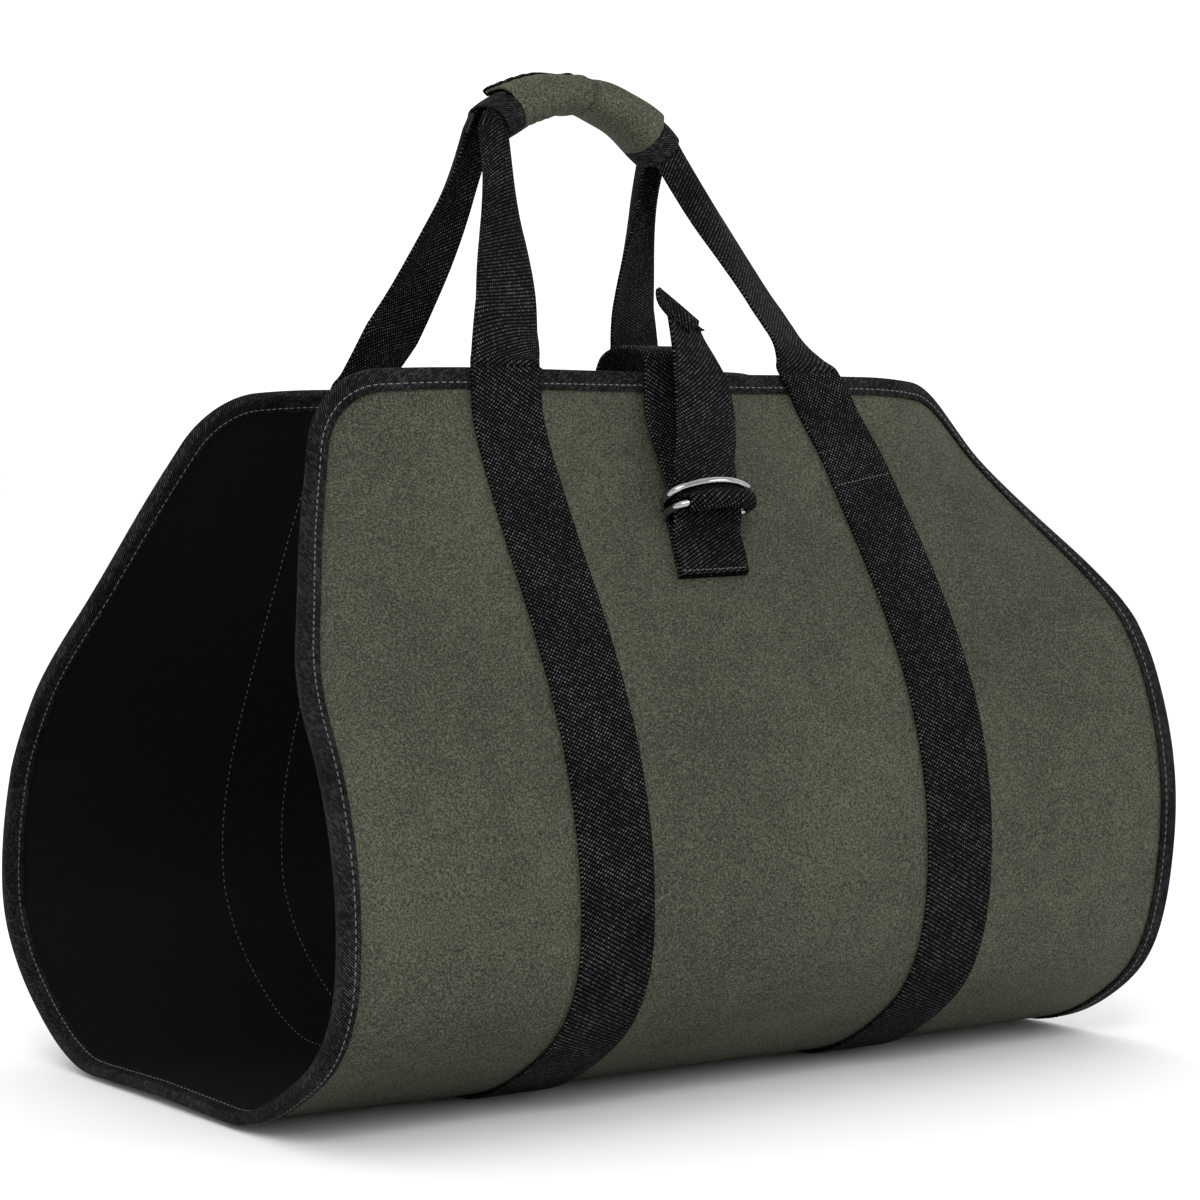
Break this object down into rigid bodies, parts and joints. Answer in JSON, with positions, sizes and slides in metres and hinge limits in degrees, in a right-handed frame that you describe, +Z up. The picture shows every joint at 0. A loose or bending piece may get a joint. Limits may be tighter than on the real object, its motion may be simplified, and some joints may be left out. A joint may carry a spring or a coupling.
{
  "type": "log carrier",
  "caption": "Open-ended canvas sling for carrying firewood, with bound edges, two webbing handles gathered in a wrapped grip and a closure strap cinched through two D-rings.",
  "frame": {"origin": "on the floor under the middle of the carrier's bounding box", "axes": "+Z up, +X along the width of the cloth from one open end to the other, the panel with the D-rings faces -Y"},
  "size_m": [0.4628, 0.3392, 0.4687],
  "materials": {
    "outer_canvas": "waxed olive canvas",
    "inner_lining": "black coated lining",
    "edge_binding": "black twill tape",
    "sling_strap_left": "black woven webbing",
    "sling_strap_right": "black woven webbing",
    "front_handle": "black woven webbing",
    "back_handle": "black woven webbing",
    "grip_wrap": "waxed olive canvas",
    "grip_band_left": "black twill tape",
    "grip_band_right": "black twill tape",
    "grip_flap_binding": "black twill tape",
    "closure_strap": "black woven webbing",
    "ring_loop": "black woven webbing",
    "d_ring_upper": "polished plating",
    "d_ring_lower": "polished plating"
  },
  "bodies": {
    "root": {"outer_canvas": "outer_canvas", "inner_lining": "inner_lining", "edge_binding": "edge_binding", "sling_strap_left": "sling_strap_left", "sling_strap_right": "sling_strap_right", "front_handle": "front_handle", "back_handle": "back_handle", "grip_wrap": "grip_wrap", "grip_band_left": "grip_band_left", "grip_band_right": "grip_band_right", "grip_flap_binding": "grip_flap_binding", "closure_strap": "closure_strap", "ring_loop": "ring_loop", "d_ring_upper": "d_ring_upper", "d_ring_lower": "d_ring_lower"}
  },
  "joints": []
}
